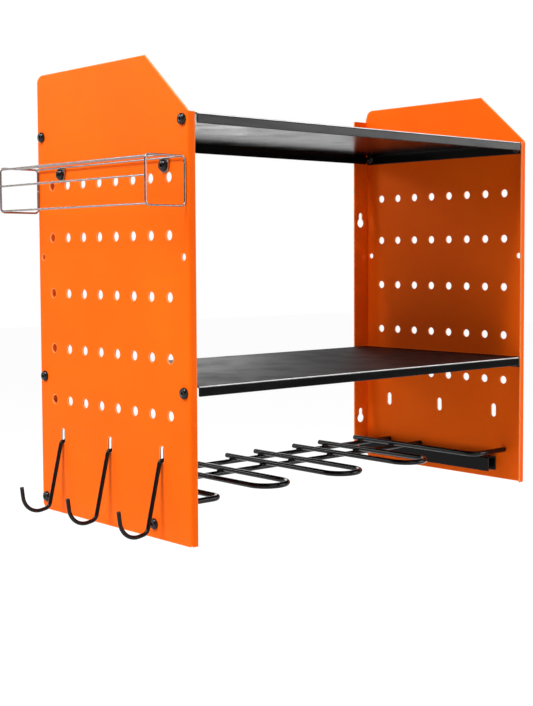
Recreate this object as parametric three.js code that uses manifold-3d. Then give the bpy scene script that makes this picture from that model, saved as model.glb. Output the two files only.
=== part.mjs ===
// Wall mounted organizer for power tools: two folded side panels, two shelves, a rod rack for
// drills near the bottom, a wire rack outside the left panel and three swinging tool hooks.
// Lengths are in millimetres: +X is to the right, -Y to the front and +Z up. X = 0 is midway
// between the side panels, Y = 0 is the wall and Z = 0 is the panels' bottom edge.

import * as THREE from 'three';
import { mergeVertices } from 'three/addons/utils/BufferGeometryUtils.js';
import Module from 'manifold-3d';

const wasm = await Module();
wasm.setup();

// Overall size
const width = 432;
const depth = 226;
const height = 398;

// Fits
const gap = 0.3;
const holeClearance = 0.4;
const overrun = 3;

// Side panels
const panelSheet = 1.5;
const foldInside = 0.6;
const frontFlange = 7;
const rearFlange = 21.4;
const rearFlangeInset = 13;
const chamferDepth = 58;
const chamferHeight = 50;
const rearCorner = 10;
const frontCorner = 2.5;

// Peg holes: the rows are symmetrical about the middle one
const pegHole = 8;
const pegColumns = 8;
const pegFrontMargin = 26.5;
const pegRearMargin = 24.5;
const pegMiddleRow = 200.5;
const pegRowPitch = 50;
const pegOuterRowPitch = 46.75;

// Hook slots: each lies midway between two columns of peg holes
const hookSlotWidth = 6;
const hookSlotHeight = 14;
const hookSlotBottom = 64;
const columnsPerHookSlot = 3;

// Keyholes for wall screws
const keyholeRound = 10;
const keyholeSlot = 5.5;
const keyholeRise = 11.5;
const lowerKeyhole = 46.5;
const keyholePitch = 224;

// Screws and nuts
const screwShank = 4.8;
const screwLength = 10;
const screwPoint = 0.7;
const headDiameter = 9.5;
const headHeight = 2.75;
const headRim = 0.5;
const crownDiameter = 5;
const socketAcrossFlats = 3;
const socketDepth = 1.5;
const nutAcrossFlats = 8;
const nutThickness = 4;

// Shelves
const shelfSheet = 1.2;
const shelfBelowChamfer = 0.5;
const shelfPitch = 109;
const frontLip = 8.5;
const rearLip = 10;
const shelfEndFlange = 11;
const shelfFrontScrew = 7.5;
const rearScrew = 8.5;

// Channels that carry the drill rack
const channelSheet = 1.2;
const channelWidth = 12.7;
const channelHeight = 15;
const channelTop = 23;
const channelFrontInset = 35;
const channelFrontScrew = 15;
const channelScrewDrop = 11;

// Drill rack
const rackRod = 5;
const fingerSpan = 38;
const fingerFrontInset = 32;
const fingerRearInset = 30;
const armInset = 51;
const armFrontInset = 24;
const armBend = 10;
const rearCrossRod = 38;
const crossRodPitch = 47;

// Side rack
const sideWire = 1.8;
const sideRackReach = 39;
const sideRackTop = 85.5;
const sideRackHeight = 39;
const sideRackFrontInset = 3.5;
const sideRackRearInset = 2;
const sideRackCorner = 3.5;
const sideMiddleRail = 16;
const sideInnerRail = 15.5;
const tabSheet = 1.5;
const tabWidth = 12;
const tabFrontInset = 30.5;
const tabRearInset = 41.8;

// Tool hooks
const hookRod = 3.5;
const hookLeg = 21;
const hookThroat = 2;
const hookDrop = 58;
const hookSplay = 13.5;
const hookMouth = 24.5;
const hookDip = 4.6;
const hookTipRise = 26.3;
const hookTipLean = 3.3;
const hookBend = 2.5;
const hookCupBend = 6;
const hookNoseBend = 16;

// How finely round forms are stepped
const pegHoleSides = 12;
const screwSides = 12;
const rodSides = 8;
const wireSides = 6;
const foldSteps = 2;
const cornerSteps = 4;
const domeSteps = 3;
const bendSteps = 5;
const coincidentShare = 0.001;

// Names of the pieces that come in rows
const fingerWords = ['left', 'middle', 'right'];
const hookWords = ['rear', 'middle', 'front'];

// Worked out from the sizes above
const halfWidth = width / 2;
const panelFold = panelSheet + foldInside;
const shelfFold = shelfSheet + foldInside;
const webInside = halfWidth - panelSheet;
const besideWeb = webInside - gap;
const beforeFlange = panelSheet + gap;
const screwHole = screwShank + 2 * holeClearance;
const pegPitch = (depth - pegFrontMargin - pegRearMargin) / (pegColumns - 1);
const pegOuterRow = pegRowPitch + pegOuterRowPitch;
const pegRows = [-pegOuterRow, -pegRowPitch, 0, pegRowPitch, pegOuterRow];
const topShelf = height - chamferHeight - shelfBelowChamfer;
const shelfScrewDrop = shelfSheet + gap + nutAcrossFlats / 2;
const channelScrew = channelTop - channelScrewDrop;
const channelFront = -depth + channelFrontInset;
const channelScrews = [-rearScrew, channelFront + channelFrontScrew];
const armX = halfWidth - armInset;
const drillBay = (2 * armX - fingerWords.length * fingerSpan) / (fingerWords.length + 1);
const fingerNose = -depth + fingerFrontInset;
const armFront = -depth + armFrontInset;
const crossRodZ = channelTop + gap + rackRod / 2;
const fingerZ = crossRodZ + rackRod + gap;
const sideRackZ = height - sideRackTop;
const sideScrewZ = sideRackZ - sideWire / 2 - gap - headDiameter / 2;
const tabPlaces = [-depth + tabFrontInset, -tabRearInset];
const hookCrossing = hookSlotBottom + gap + hookRod / 2;

const finishes = {
  orange: { color: 0xf2640f, roughness: 0.42, metalness: 0.1 },
  black: { color: 0x17181a, roughness: 0.38, metalness: 0.2 },
  gloss: { color: 0x0b0b0c, roughness: 0.18, metalness: 0.3 },
  wire: { color: 0xb9b9b7, roughness: 0.22, metalness: 0.95 },
};

// A named mesh with a material of its own
function piece(name, geometry, finish) {
  const material = new THREE.MeshStandardMaterial({ ...finishes[finish], flatShading: true });
  const mesh = new THREE.Mesh(geometry, material);
  mesh.name = name;
  return mesh;
}

// The solid inside a closed geometry, ready to be joined or cut
function solid(geometry) {
  const bare = geometry.clone();
  bare.deleteAttribute('normal');
  bare.deleteAttribute('uv');
  const merged = mergeVertices(bare);
  const corners = merged.index.array;
  const triangles = [];
  for (let i = 0; i < corners.length; i += 3) {
    const [a, b, c] = corners.slice(i, i + 3);
    if (a !== b && b !== c && c !== a) {
      triangles.push(a, b, c);
    }
  }
  return new wasm.Manifold(new wasm.Mesh({
    numProp: 3,
    vertProperties: new Float32Array(merged.attributes.position.array),
    triVerts: new Uint32Array(triangles),
  }));
}

function joined(solids) {
  return solids.reduce((whole, part) => whole.add(part));
}

// The geometry of a solid after its joins and cuts
function geometryOf(body) {
  const mesh = body.getMesh();
  const geometry = new THREE.BufferGeometry();
  geometry.setAttribute('position', new THREE.BufferAttribute(mesh.vertProperties, 3));
  geometry.setIndex(new THREE.BufferAttribute(mesh.triVerts, 1));
  geometry.computeVertexNormals();
  return geometry;
}

// A shape drawn in Y and Z, run along X
function alongX(shape, from, to) {
  const geometry = new THREE.ExtrudeGeometry(shape, {
    depth: to - from, bevelEnabled: false, curveSegments: cornerSteps,
  });
  const turn = new THREE.Matrix4().makeBasis(
    new THREE.Vector3(0, 1, 0), new THREE.Vector3(0, 0, 1), new THREE.Vector3(1, 0, 0),
  );
  return geometry.applyMatrix4(turn).translate(from, 0, 0);
}

// A shape drawn in X and Z, run along Y
function alongY(shape, from, to) {
  const geometry = new THREE.ExtrudeGeometry(shape, {
    depth: to - from, bevelEnabled: false, curveSegments: cornerSteps,
  });
  const turn = new THREE.Matrix4().makeBasis(
    new THREE.Vector3(1, 0, 0), new THREE.Vector3(0, 0, 1), new THREE.Vector3(0, -1, 0),
  );
  return geometry.applyMatrix4(turn).translate(0, to, 0);
}

function block(x0, x1, y0, y1, z0, z1) {
  const geometry = new THREE.BoxGeometry(x1 - x0, y1 - y0, z1 - z0);
  return geometry.translate((x0 + x1) / 2, (y0 + y1) / 2, (z0 + z1) / 2);
}

function circlePoints(x, y, radius, sides, start = 0) {
  const points = [];
  for (let i = 0; i < sides; i += 1) {
    const angle = start + 2 * Math.PI * i / sides;
    points.push(new THREE.Vector2(x + radius * Math.cos(angle), y + radius * Math.sin(angle)));
  }
  return points;
}

// The outline of a keyhole whose round end is centred on the given point
function keyholePoints(x, y) {
  const narrow = keyholeSlot / 2;
  const wide = keyholeRound / 2;
  const meeting = Math.acos(narrow / wide);
  const outline = new THREE.Path();
  outline.absarc(x, y, wide, Math.PI - meeting, 2 * Math.PI + meeting, false);
  outline.absarc(x, y + keyholeRise - narrow, narrow, 0, Math.PI, false);
  return outline.getPoints(cornerSteps);
}

// The outline of an upright slot with round ends
function slotPoints(y, bottom) {
  const radius = hookSlotWidth / 2;
  const outline = new THREE.Path();
  outline.absarc(y, bottom + radius, radius, Math.PI, 2 * Math.PI, false);
  outline.absarc(y, bottom + hookSlotHeight - radius, radius, 0, Math.PI, false);
  return outline.getPoints(cornerSteps);
}

function columnY(column) {
  return -pegRearMargin - column * pegPitch;
}

// Columns are counted from the wall, and so are the slots
function hookSlotY(slot) {
  return columnY(slot * columnsPerHookSlot) - pegPitch / 2;
}

// Height of a shelf's screws, counted down from the top shelf; the level between is spare
function shelfScrewZ(level) {
  return topShelf - level * shelfPitch - shelfScrewDrop;
}

// Side panels: a folded section seen from above, cut to the outline seen from the side
function panelSection(side) {
  const front = -depth;
  const section = new THREE.Path();
  section.moveTo(frontFlange, front);
  section.lineTo(panelFold, front);
  section.absarc(panelFold, front + panelFold, panelFold, 1.5 * Math.PI, Math.PI, true);
  section.absarc(panelFold, -panelFold, panelFold, Math.PI, Math.PI / 2, true);
  section.lineTo(rearFlange, 0);
  section.lineTo(rearFlange, -panelSheet);
  section.absarc(panelFold, -panelFold, foldInside, Math.PI / 2, Math.PI, false);
  section.absarc(panelFold, front + panelFold, foldInside, Math.PI, 1.5 * Math.PI, false);
  section.lineTo(frontFlange, front + panelSheet);
  const points = section.getPoints(foldSteps);
  return new THREE.Shape(points.map((p) => new THREE.Vector2(-side * p.x, p.y)));
}

function panelOutline() {
  const outline = new THREE.Shape();
  outline.absarc(-rearCorner, rearCorner, rearCorner, -Math.PI / 2, 0, false);
  outline.absarc(-rearCorner, height - rearCorner, rearCorner, 0, Math.PI / 2, false);
  outline.lineTo(-depth + chamferDepth, height);
  outline.lineTo(-depth, height - chamferHeight);
  outline.lineTo(-depth, 0);
  return outline;
}

// What lies outside a rounded lower corner, drawn inwards and upwards from that corner
function cornerShape(way) {
  const outline = new THREE.Path();
  outline.moveTo(-overrun, -overrun);
  outline.lineTo(frontCorner, -overrun);
  outline.absarc(frontCorner, frontCorner, frontCorner, 1.5 * Math.PI, Math.PI, true);
  outline.lineTo(-overrun, frontCorner);
  const points = outline.getPoints(cornerSteps);
  return new THREE.Shape(points.map((p) => new THREE.Vector2(way * p.x, p.y)));
}

// The web and the front flange are both rounded off where they meet at the bottom
function frontCornerCut(side) {
  const reach = frontCorner + overrun;
  const web = alongX(cornerShape(1), -reach, reach).translate(0, -depth, 0);
  return solid(web).intersect(solid(alongY(cornerShape(-side), -depth - reach, -depth + reach)));
}

// Every hole in a panel's web; the left panel has two more for the side rack
function webHoles(side) {
  const holes = [];
  const drill = (y, z, diameter, sides) => holes.push(circlePoints(y, z, diameter / 2, sides));
  for (let column = 0; column < pegColumns; column += 1) {
    pegRows.forEach((row) => drill(columnY(column), pegMiddleRow + row, pegHole, pegHoleSides));
  }
  hookWords.forEach((word, slot) => holes.push(slotPoints(hookSlotY(slot), hookSlotBottom)));
  for (let level = 0; level <= 2; level += 1) {
    drill(-rearScrew, shelfScrewZ(level), screwHole, screwSides);
    drill(-depth + shelfFrontScrew, shelfScrewZ(level), screwHole, screwSides);
  }
  channelScrews.forEach((y) => drill(y, channelScrew, screwHole, screwSides));
  if (side < 0) {
    tabPlaces.forEach((y) => drill(y, sideScrewZ, screwHole, screwSides));
  }
  return holes.map((points) => new THREE.Path(points));
}

// What comes off the rear flange: its two ends and its keyholes
function flangeCuts(side) {
  const inner = -side * (rearFlange + overrun);
  const outer = -side * panelFold;
  const [x0, x1] = [Math.min(inner, outer), Math.max(inner, outer)];
  const front = -panelSheet - foldInside;
  const cuts = [
    block(x0, x1, front, overrun, -overrun, rearFlangeInset),
    block(x0, x1, front, overrun, height - rearFlangeInset, height + overrun),
  ];
  const keyholeX = -side * (panelSheet + rearFlange) / 2;
  [lowerKeyhole, lowerKeyhole + keyholePitch].forEach((z) => {
    const outline = new THREE.Shape(keyholePoints(keyholeX, z));
    cuts.push(alongY(outline, front, overrun));
  });
  return joined(cuts.map(solid));
}

function sidePanel(name, side) {
  const section = new THREE.ExtrudeGeometry(panelSection(side), { depth: height, bevelEnabled: false });
  const outline = panelOutline();
  outline.holes = webHoles(side);
  const reach = rearFlange + overrun;
  const body = solid(section).intersect(solid(alongX(outline, -reach, reach)));
  const cuts = flangeCuts(side).add(frontCornerCut(side));
  const panel = piece(name, geometryOf(body.subtract(cuts)), 'orange');
  panel.position.x = side * halfWidth;
  return panel;
}

// A box seen from its end, with its two top edges rounded
function trayShape(from, to, bottom, top, radius) {
  const outline = new THREE.Shape();
  outline.absarc(to - radius, top - radius, radius, 0, Math.PI / 2, false);
  outline.absarc(from + radius, top - radius, radius, Math.PI / 2, Math.PI, false);
  outline.lineTo(from, bottom);
  outline.lineTo(to, bottom);
  return new THREE.Shape(outline.getPoints(foldSteps));
}

// A block with all its top edges rounded, as the outside or the inside of a folded tray
function trayBlock(x, front, rear, bottom, top, radius) {
  const acrossY = alongX(trayShape(front, rear, bottom, top, radius), -x, x);
  const acrossX = alongY(trayShape(-x, x, bottom, top, radius), front, rear);
  return solid(acrossY).intersect(solid(acrossX));
}

// Shelves: a plate with four edges folded down and its corners cut away, its top at Z = 0
function shelfGeometry() {
  const front = -depth;
  const rear = -beforeFlange;
  const flange = -shelfEndFlange;
  const outside = trayBlock(besideWeb, front, rear, flange, 0, shelfFold);
  const insideX = besideWeb - shelfSheet;
  const inside = trayBlock(
    insideX, front + shelfSheet, rear - shelfSheet, flange - overrun, -shelfSheet, foldInside,
  );
  const frontLipEnd = halfWidth - frontFlange - gap;
  const rearLipEnd = besideWeb - shelfFold - gap;
  const flangeFront = front + panelSheet + 2 * gap;
  const flangeRear = rear - shelfSheet - gap;
  const cuts = [
    block(-frontLipEnd, frontLipEnd, front - overrun, flangeFront, flange - overrun, -frontLip),
    block(-rearLipEnd, rearLipEnd, flangeRear, rear + overrun, flange - overrun, -rearLip),
  ];
  [[-besideWeb - overrun, -1], [besideWeb + overrun, 1]].forEach(([beyond, side]) => {
    const [f0, f1] = [beyond, side * frontLipEnd].sort((a, b) => a - b);
    const [r0, r1] = [beyond, side * rearLipEnd].sort((a, b) => a - b);
    cuts.push(block(f0, f1, front - overrun, flangeFront, flange - overrun, overrun));
    cuts.push(block(r0, r1, flangeRear, rear + overrun, flange - overrun, overrun));
  });
  [-rearScrew, front + shelfFrontScrew].forEach((y) => {
    const outline = new THREE.Shape(circlePoints(y, -shelfScrewDrop, screwHole / 2, screwSides));
    cuts.push(alongX(outline, -besideWeb - overrun, besideWeb + overrun));
  });
  return geometryOf(outside.subtract(inside).subtract(joined(cuts.map(solid))));
}

function shelf(name, level) {
  const mesh = piece(name, shelfGeometry(), 'black');
  mesh.position.z = topShelf - level * shelfPitch;
  return mesh;
}

// Channels: folded like an upturned gutter, open below, bolted through the outer wall
function gutterShape(side) {
  const fold = channelSheet + foldInside;
  const outline = new THREE.Path();
  outline.moveTo(0, -channelHeight);
  outline.lineTo(0, -fold);
  outline.absarc(fold, -fold, fold, Math.PI, Math.PI / 2, true);
  outline.absarc(channelWidth - fold, -fold, fold, Math.PI / 2, 0, true);
  outline.lineTo(channelWidth, -channelHeight);
  outline.lineTo(channelWidth - channelSheet, -channelHeight);
  outline.absarc(channelWidth - fold, -fold, foldInside, 0, Math.PI / 2, false);
  outline.absarc(fold, -fold, foldInside, Math.PI / 2, Math.PI, false);
  outline.lineTo(channelSheet, -channelHeight);
  const points = outline.getPoints(foldSteps);
  return new THREE.Shape(points.map((p) => new THREE.Vector2(-side * p.x, p.y)));
}

function channel(name, side) {
  const folded = solid(alongY(gutterShape(side), channelFront, -beforeFlange));
  const [from, to] = [-side * channelWidth / 2, side * overrun].sort((a, b) => a - b);
  const holes = channelScrews.map((y) => {
    const outline = new THREE.Shape(circlePoints(y, -channelScrewDrop, screwHole / 2, screwSides));
    return solid(alongX(outline, from, to));
  });
  const mesh = piece(name, geometryOf(folded.subtract(joined(holes))), 'black');
  mesh.position.set(side * besideWeb, 0, channelTop);
  return mesh;
}

// The centre line of a bent rod: straight between its corners, each rounded to its own radius
class BentLine extends THREE.Curve {
  constructor(corners, radii) {
    super();
    this.stations = [];
    const headings = corners.slice(1).map((end, i) => end.clone().sub(corners[i]).normalize());
    this.addStation(corners[0], headings[0], 0);
    radii.forEach((radius, i) => this.addBend(corners[i + 1], headings[i], headings[i + 1], radius));
    this.addStation(corners.at(-1), headings.at(-1), 0);
  }

  // A bend that starts where the last one ended adds nothing there
  addStation(point, tangent, radius) {
    const last = this.stations.at(-1);
    if (!last || last.point.distanceTo(point) >= radius * coincidentShare) {
      this.stations.push({ point: point.clone(), tangent: tangent.clone() });
    }
  }

  addBend(corner, arriving, leaving, radius) {
    const turn = arriving.angleTo(leaving);
    const start = corner.clone().addScaledVector(arriving, -radius * Math.tan(turn / 2));
    const across = leaving.clone().addScaledVector(arriving, -arriving.dot(leaving)).normalize();
    for (let step = 0; step <= bendSteps; step += 1) {
      const angle = turn * step / bendSteps;
      const point = start.clone().addScaledVector(arriving, radius * Math.sin(angle));
      point.addScaledVector(across, radius * (1 - Math.cos(angle)));
      const tangent = arriving.clone().multiplyScalar(Math.cos(angle));
      this.addStation(point, tangent.addScaledVector(across, Math.sin(angle)), radius);
    }
  }

  // Steps fall on the stations, so a long straight run takes one step and a bend takes several
  getUtoTmapping(u) {
    return u;
  }

  stationAt(t) {
    return this.stations[Math.round(t * (this.stations.length - 1))];
  }

  getPoint(t, target = new THREE.Vector3()) {
    return target.copy(this.stationAt(t).point);
  }

  getTangent(t, target = new THREE.Vector3()) {
    return target.copy(this.stationAt(t).tangent);
  }
}

// A round rod along its corners, which are [x, y, z] places; its flats lie at its true radius
function bentRod(name, places, radii, diameter, sides, finish) {
  const corners = places.map((place) => new THREE.Vector3(...place));
  const line = new BentLine(corners, radii);
  const corner = diameter / 2 / Math.cos(Math.PI / sides);
  const section = new THREE.Shape(circlePoints(0, 0, corner, sides, Math.PI / sides));
  const steps = line.stations.length - 1;
  return piece(name, new THREE.ExtrudeGeometry(section, { steps, extrudePath: line }), finish);
}

// Drill rack: two cross rods on the channels, with three fingers and two arms on top of them
function crossRod(name, y) {
  const ends = [[-besideWeb, 0, 0], [besideWeb, 0, 0]];
  const rod = bentRod(name, ends, [], rackRod, rodSides, 'gloss');
  rod.position.set(0, y, crossRodZ);
  return rod;
}

function drillFinger(name, index) {
  const half = fingerSpan / 2;
  const tail = -fingerRearInset;
  const route = [[-half, tail, 0], [-half, fingerNose, 0], [half, fingerNose, 0], [half, tail, 0]];
  const finger = bentRod(name, route, [half, half], rackRod, rodSides, 'gloss');
  finger.position.x = -armX + (index + 1) * drillBay + index * fingerSpan + half;
  finger.position.z = fingerZ;
  return finger;
}

function drillArm(name, side) {
  const x = side * armX;
  const route = [[x, -fingerRearInset, 0], [x, armFront, 0], [side * besideWeb, armFront, 0]];
  const arm = bentRod(name, route, [armBend], rackRod, rodSides, 'gloss');
  arm.position.z = fingerZ;
  return arm;
}

// Side rack: two wire loops that stand out from the left panel, rails between them and two tabs
const wireRadius = sideWire / 2;
const loopOuter = -halfWidth - sideRackReach;
const loopInner = -halfWidth - gap - wireRadius;
const loopBottom = sideRackZ - sideRackHeight;
const loopFrontY = -depth + sideRackFrontInset;
const loopRearY = -sideRackRearInset;

// The loop's ends meet halfway up its inner side
function sideLoop(name, y) {
  const middle = (sideRackZ + loopBottom) / 2;
  const route = [
    [loopInner, 0, middle + gap / 2],
    [loopInner, 0, sideRackZ],
    [loopOuter, 0, sideRackZ],
    [loopOuter, 0, loopBottom],
    [loopInner, 0, loopBottom],
    [loopInner, 0, middle - gap / 2],
  ];
  const radii = new Array(route.length - 2).fill(sideRackCorner);
  const loop = bentRod(name, route, radii, sideWire, wireSides, 'wire');
  loop.position.y = y;
  return loop;
}

function sideRail(name, x, z) {
  const ends = [[0, loopFrontY + wireRadius + gap, 0], [0, loopRearY - wireRadius - gap, 0]];
  const rail = bentRod(name, ends, [], sideWire, wireSides, 'wire');
  rail.position.set(x, 0, z);
  return rail;
}

// A rail in a rounded corner of the loops lies on the middle of the bend
function sideRails() {
  const cornerInset = sideRackCorner * (1 - Math.SQRT1_2);
  const outside = loopOuter + cornerInset;
  return [
    sideRail('side_rack_top_rail', outside, sideRackZ - cornerInset),
    sideRail('side_rack_middle_rail', loopOuter, sideRackZ - sideMiddleRail),
    sideRail('side_rack_bottom_rail', outside, loopBottom + cornerInset),
    sideRail('side_rack_inner_rail', loopOuter + sideInnerRail, sideRackZ),
    sideRail('side_rack_back_rail', -halfWidth - gap - tabSheet - gap - wireRadius, sideRackZ),
  ];
}

// A tab lies on the panel behind the back rail and has a round lower end about its screw hole
function sideTab(name, y) {
  const half = tabWidth / 2;
  const outline = new THREE.Shape();
  outline.absarc(0, sideScrewZ, half, Math.PI, 2 * Math.PI, false);
  outline.lineTo(half, sideRackZ + wireRadius);
  outline.lineTo(-half, sideRackZ + wireRadius);
  outline.holes = [new THREE.Path(circlePoints(0, sideScrewZ, screwHole / 2, screwSides))];
  const tab = piece(name, alongX(outline, -tabSheet, 0), 'wire');
  tab.position.set(-halfWidth - gap, y, 0);
  return tab;
}

// Tool hooks: a leg inside the left panel, a throat through its slot, a shank and a cup outside
function toolHook(name, y) {
  const legX = -webInside + gap + hookRod / 2;
  const throatX = -halfWidth - hookThroat;
  const footZ = hookCrossing - hookDrop;
  const cupX = throatX - hookSplay - hookMouth;
  const route = [
    [legX, 0, hookCrossing + hookLeg],
    [legX, 0, hookCrossing],
    [throatX, 0, hookCrossing],
    [throatX - hookSplay, 0, footZ],
    [cupX, 0, footZ - hookDip],
    [cupX - hookTipLean, 0, footZ - hookDip + hookTipRise],
  ];
  const radii = [hookBend, hookBend, hookCupBend, hookNoseBend];
  const hook = bentRod(name, route, radii, hookRod, rodSides, 'gloss');
  hook.position.y = y;
  return hook;
}

// Screws are made with the head's underside at Z = 0 and the head above it
function screwGeometry() {
  const shank = screwShank / 2;
  const head = headDiameter / 2;
  const crown = crownDiameter / 2;
  const profile = [
    [0, -screwLength], [shank - screwPoint, -screwLength], [shank, screwPoint - screwLength],
    [shank, 0], [head, 0],
  ];
  for (let step = 0; step <= domeSteps; step += 1) {
    const angle = Math.PI / 2 * step / domeSteps;
    const r = crown + (head - crown) * Math.cos(angle);
    profile.push([r, headRim + (headHeight - headRim) * Math.sin(angle)]);
  }
  profile.push([0, headHeight]);
  const points = profile.map(([r, z]) => new THREE.Vector2(r, z));
  const turned = new THREE.LatheGeometry(points, screwSides).rotateX(Math.PI / 2);
  return geometryOf(solid(turned).subtract(solid(hexSocket())));
}

function hexSocket() {
  const corner = socketAcrossFlats / 2 / Math.cos(Math.PI / 6);
  const outline = new THREE.Shape(circlePoints(0, 0, corner, 6));
  const cutter = new THREE.ExtrudeGeometry(outline, { depth: socketDepth + overrun, bevelEnabled: false });
  return cutter.translate(0, 0, headHeight - socketDepth);
}

// Nuts have two flats level with the floor once they are turned to face a panel
function nutGeometry() {
  const corner = nutAcrossFlats / 2 / Math.cos(Math.PI / 6);
  const outline = new THREE.Shape(circlePoints(0, 0, corner, 6, Math.PI / 6));
  outline.holes = [new THREE.Path(circlePoints(0, 0, screwShank / 2 + gap, screwSides))];
  return new THREE.ExtrudeGeometry(outline, { depth: nutThickness, bevelEnabled: false });
}

// A screw from outside and a nut from inside, given how far outer and inner faces are from X = 0
function fasten(place, side, y, z, outer, inner) {
  const screw = piece(`screw_${place}`, screwGeometry(), 'black');
  screw.rotation.y = side * Math.PI / 2;
  screw.position.set(side * (outer + gap), y, z);
  const nut = piece(`nut_${place}`, nutGeometry(), 'black');
  nut.rotation.y = side * Math.PI / 2;
  nut.position.set(side * (inner - gap - nutThickness), y, z);
  return [screw, nut];
}

function sideFasteners(word, side) {
  const ends = [['rear', -rearScrew], ['front', -depth + shelfFrontScrew]];
  const inShelf = besideWeb - shelfSheet;
  const inChannel = besideWeb - channelSheet;
  return ends.flatMap(([end, y], i) => [
    fasten(`top_shelf_${word}_${end}`, side, y, shelfScrewZ(0), halfWidth, inShelf),
    fasten(`middle_shelf_${word}_${end}`, side, y, shelfScrewZ(2), halfWidth, inShelf),
    fasten(`channel_${word}_${end}`, side, channelScrews[i], channelScrew, halfWidth, inChannel),
  ]).flat();
}

function sideRack() {
  const group = new THREE.Group();
  group.add(sideLoop('side_rack_front_loop', loopFrontY), sideLoop('side_rack_rear_loop', loopRearY));
  group.add(...sideRails());
  ['front', 'rear'].forEach((end, i) => {
    group.add(sideTab(`side_rack_tab_${end}`, tabPlaces[i]));
    const outer = halfWidth + gap + tabSheet;
    group.add(...fasten(`side_rack_${end}`, -1, tabPlaces[i], sideScrewZ, outer, webInside));
  });
  return group;
}

function drillRack() {
  const group = new THREE.Group();
  group.add(channel('rack_channel_left', -1), channel('rack_channel_right', 1));
  group.add(crossRod('cross_rod_rear', -rearCrossRod));
  group.add(crossRod('cross_rod_front', -rearCrossRod - crossRodPitch));
  fingerWords.forEach((word, i) => group.add(drillFinger(`drill_finger_${word}`, i)));
  group.add(drillArm('drill_arm_left', -1), drillArm('drill_arm_right', 1));
  return group;
}

const organizer = new THREE.Group();
organizer.add(sidePanel('side_panel_left', -1), sidePanel('side_panel_right', 1));
organizer.add(shelf('top_shelf', 0), shelf('middle_shelf', 2));
organizer.add(drillRack(), sideRack());
hookWords.forEach((word, i) => organizer.add(toolHook(`tool_hook_${word}`, hookSlotY(i))));
organizer.add(...sideFasteners('left', -1), ...sideFasteners('right', 1));

export default organizer;
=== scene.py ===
"""Looks of a wall mounted power tool organizer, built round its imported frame.

Lengths are in metres, in the frame's own axes: +X to the right, -Y out from the wall towards the
viewer and +Z up. Every piece of folded sheet is drawn flat, holes and all, and then folded.
"""

import math

import bmesh
import bpy
from mathutils import Matrix, Vector

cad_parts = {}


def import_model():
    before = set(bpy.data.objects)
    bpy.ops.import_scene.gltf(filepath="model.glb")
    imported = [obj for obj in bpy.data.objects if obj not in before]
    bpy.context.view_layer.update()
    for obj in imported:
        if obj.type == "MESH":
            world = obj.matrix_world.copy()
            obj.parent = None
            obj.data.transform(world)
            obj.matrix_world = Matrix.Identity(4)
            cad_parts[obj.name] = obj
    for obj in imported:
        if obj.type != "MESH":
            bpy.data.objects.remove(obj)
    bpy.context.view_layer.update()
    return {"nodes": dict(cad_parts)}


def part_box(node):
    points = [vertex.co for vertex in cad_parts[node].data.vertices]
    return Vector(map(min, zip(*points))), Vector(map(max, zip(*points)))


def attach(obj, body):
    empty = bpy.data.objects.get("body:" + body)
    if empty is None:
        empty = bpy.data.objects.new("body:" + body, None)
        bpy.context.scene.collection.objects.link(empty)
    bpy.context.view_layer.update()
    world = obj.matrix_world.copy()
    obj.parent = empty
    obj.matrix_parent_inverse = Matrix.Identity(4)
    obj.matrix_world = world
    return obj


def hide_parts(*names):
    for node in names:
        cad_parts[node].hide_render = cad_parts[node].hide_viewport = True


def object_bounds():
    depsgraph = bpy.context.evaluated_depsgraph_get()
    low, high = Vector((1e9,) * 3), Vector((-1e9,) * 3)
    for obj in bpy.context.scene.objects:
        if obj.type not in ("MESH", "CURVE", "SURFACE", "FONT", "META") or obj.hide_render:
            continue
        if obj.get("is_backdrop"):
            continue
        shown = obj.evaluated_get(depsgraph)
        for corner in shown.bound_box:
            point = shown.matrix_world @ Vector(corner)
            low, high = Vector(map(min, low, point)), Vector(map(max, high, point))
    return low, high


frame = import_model()

# Camera, fitted to the photograph's panel corners and holes
PHOTO_WIDTH = 533
PHOTO_HEIGHT = 706
CAMERA_PLACE = Vector((-0.831716, -1.023827, 0.234181))
CAMERA_YAW = 0.7441
CAMERA_PITCH = -0.0590
CAMERA_ROLL = -0.0034
CAMERA_FOCAL = 1267.16
CAMERA_CENTRE = (300, 330)
SENSOR = 36

# Sheet metal
RIM = 0.0003
WEAR = 0.0007
FOLD_INSIDE = 0.0006
FOLD_STEPS = 8
HOLE_STEPS = 28
CORNER_STEPS = 8
CUT_TOLERANCE = 1e-7

# Points nearer than this are taken as one
TOUCHING = RIM / 10

# Where, along the arc of a bend, a highlight is painted on its coat
HIGHLIGHT_START, HIGHLIGHT_END = 0.3, 0.7

# Angles in degrees over which faces meet in an edge, and how far large faces bend the shading
SHEET_EDGE = 40
ROD_EDGE = 50
SCREW_EDGE = 32
NUT_EDGE = 30
FACE_AREA_WEIGHT = 100

# Side panels
PANEL_SHEET = 0.0015
FRONT_FLANGE = 0.007
REAR_FLANGE = 0.0214
REAR_FLANGE_INSET = 0.013
REAR_FLANGE_CORNER = 0.0015
CHAMFER_DEPTH = 0.058
CHAMFER_HEIGHT = 0.050
REAR_CORNER = 0.010
FRONT_CORNER = 0.0025

# Holes in the side panels
PEG_HOLE = 0.008
PEG_COLUMNS = 8
PEG_FRONT_MARGIN = 0.0265
PEG_REAR_MARGIN = 0.0245
PEG_MIDDLE_ROW = 0.2005
PEG_ROWS = (-0.09675, -0.05, 0, 0.05, 0.09675)
HOOK_SLOT_WIDTH = 0.006
HOOK_SLOT_HEIGHT = 0.014
HOOK_SLOT_BOTTOM = 0.064
COLUMNS_PER_HOOK_SLOT = 3
KEYHOLE_ROUND = 0.010
KEYHOLE_SLOT = 0.0055
KEYHOLE_RISE = 0.0115
KEYHOLES = (0.0465, 0.2705)
SCREW_HOLE = 0.0056
SHELF_PITCH = 0.109
REAR_SCREW = 0.0085
SHELF_FRONT_SCREW = 0.0075

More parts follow.
